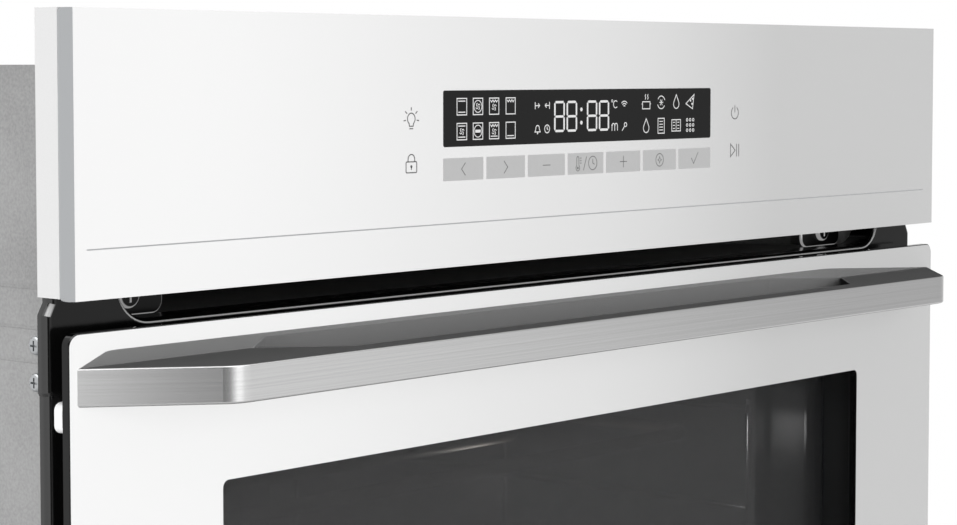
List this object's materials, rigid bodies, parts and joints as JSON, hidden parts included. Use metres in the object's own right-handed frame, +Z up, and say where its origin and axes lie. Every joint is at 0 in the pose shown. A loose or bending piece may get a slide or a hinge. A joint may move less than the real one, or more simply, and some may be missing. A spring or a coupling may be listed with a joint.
{
  "type": "wall oven",
  "caption": "Built-in wall oven with a white glass control panel, a bottom-hinged glass door with a bar handle, a racked cavity, elements, fans and a steel casing.",
  "frame": {"origin": "middle of the lower front edge of the casing: the front plane of the cabinet, at the shelf that the oven stands on", "axes": "+Z up, +X to the right seen from the front, the front faces -Y"},
  "size_m": [0.595, 0.6067, 0.595],
  "materials": {
    "white_glass": "back-painted white float glass with polished edges; the door pane has a clear window",
    "clear_glass": "clear toughened glass",
    "white_plastic": "satin moulded ABS",
    "black_plastic": "matt black moulded plastic",
    "brushed_aluminium": "brushed along its length",
    "black_enamel": "glossy black enamel on steel",
    "cavity_enamel": "glossy dark grey speckled enamel",
    "galvanised_steel": "matt galvanised sheet",
    "chromed_wire": "bright chromed wire",
    "element_steel": "heat-darkened steel tube",
    "aluminium_sheet": "mill finish",
    "seal_rubber": "matt silicone",
    "mineral_wool": "loose needled wool",
    "circuit_board": "solder mask on glass laminate",
    "ceramic": "unglazed steatite",
    "zinc_steel": "zinc-plated steel"
  },
  "bodies": {
    "casing": {"air_duct": "galvanised_steel", "base_plate": "galvanised_steel", "bottom_element": "element_steel", "cable_gland": "black_plastic", "cavity_liner": "cavity_enamel", "cavity_seal": "seal_rubber", "convection_motor": "zinc_steel", "cooling_fan_housing": "galvanised_steel", "cooling_motor": "zinc_steel", "display_module": "black_plastic", "fan_cover": "cavity_enamel", "fascia_brackets": "zinc_steel", "fascia_glass": "white_glass", "fascia_housing": "black_plastic", "front_frame": "black_enamel", "grill_element": "element_steel", "insulation": "mineral_wool", "lamp_bulb": "clear_glass", "lamp_glass": "clear_glass", "lamp_holder": "ceramic", "left_end_cap": "white_plastic", "left_hinge_arm": "zinc_steel", "left_hinge_receiver": "zinc_steel", "left_rack_guide": "chromed_wire", "left_side_panel": "galvanised_steel", "power_board": "circuit_board", "rear_cover": "galvanised_steel", "rear_screws": "zinc_steel", "right_end_cap": "white_plastic", "right_hinge_arm": "zinc_steel", "right_hinge_receiver": "zinc_steel", "right_rack_guide": "chromed_wire", "right_side_panel": "galvanised_steel", "ring_element": "element_steel", "side_screws": "zinc_steel", "temperature_probe": "element_steel", "terminal_block": "white_plastic", "thermal_cutout": "black_plastic", "top_cover": "galvanised_steel", "touch_board": "circuit_board"},
    "door": {"door_outer_glass": "white_glass", "door_inner_glass": "clear_glass", "door_middle_glass": "clear_glass", "left_door_column": "black_plastic", "right_door_column": "black_plastic", "door_top_trim": "black_plastic", "door_bottom_trim": "black_plastic", "glass_bumpers": "white_plastic", "handle_bar": "brushed_aluminium", "handle_screws": "zinc_steel", "left_hinge_channel": "zinc_steel", "right_hinge_channel": "zinc_steel", "hinge_pins": "zinc_steel", "hinge_springs": "zinc_steel"},
    "left_plunger": {"left_hinge_plunger": "zinc_steel"},
    "right_plunger": {"right_hinge_plunger": "zinc_steel"},
    "convection_rotor": {"convection_fan": "zinc_steel"},
    "cooling_fan": {"cooling_rotor": "aluminium_sheet"},
    "shelf": {"wire_shelf": "chromed_wire"},
    "tray": {"baking_tray": "cavity_enamel"}
  },
  "joints": [
    {"name": "door_hinge", "type": "hinge", "parent": "casing", "child": "door", "pos_m": [0, -0.008, 0.014], "axis": [1, 0, 0], "range_deg": [0, 90]},
    {"name": "left_plunger_slide", "type": "slide", "parent": "door", "child": "left_plunger", "axis": [0, 0, 1], "range_m": [-0.018, 0]},
    {"name": "right_plunger_slide", "type": "slide", "parent": "door", "child": "right_plunger", "axis": [0, 0, 1], "range_m": [-0.018, 0]},
    {"name": "convection_fan_spin", "type": "hinge", "parent": "casing", "child": "convection_rotor", "pos_m": [0, 0.41, 0.25], "axis": [0, 1, 0], "continuous": true},
    {"name": "cooling_fan_spin", "type": "hinge", "parent": "casing", "child": "cooling_fan", "pos_m": [0, 0.33, 0.526], "axis": [1, 0, 0], "continuous": true},
    {"name": "shelf_slide", "type": "slide", "parent": "casing", "child": "shelf", "axis": [0, -1, 0], "range_m": [0, 0.015]},
    {"name": "tray_slide", "type": "slide", "parent": "casing", "child": "tray", "axis": [0, -1, 0], "range_m": [0, 0.015]}
  ],
  "couplings": [
    {"joint": "left_plunger_slide", "follows": "door_hinge", "m_per_rad": -0.011459},
    {"joint": "right_plunger_slide", "follows": "door_hinge", "m_per_rad": -0.011459}
  ]
}
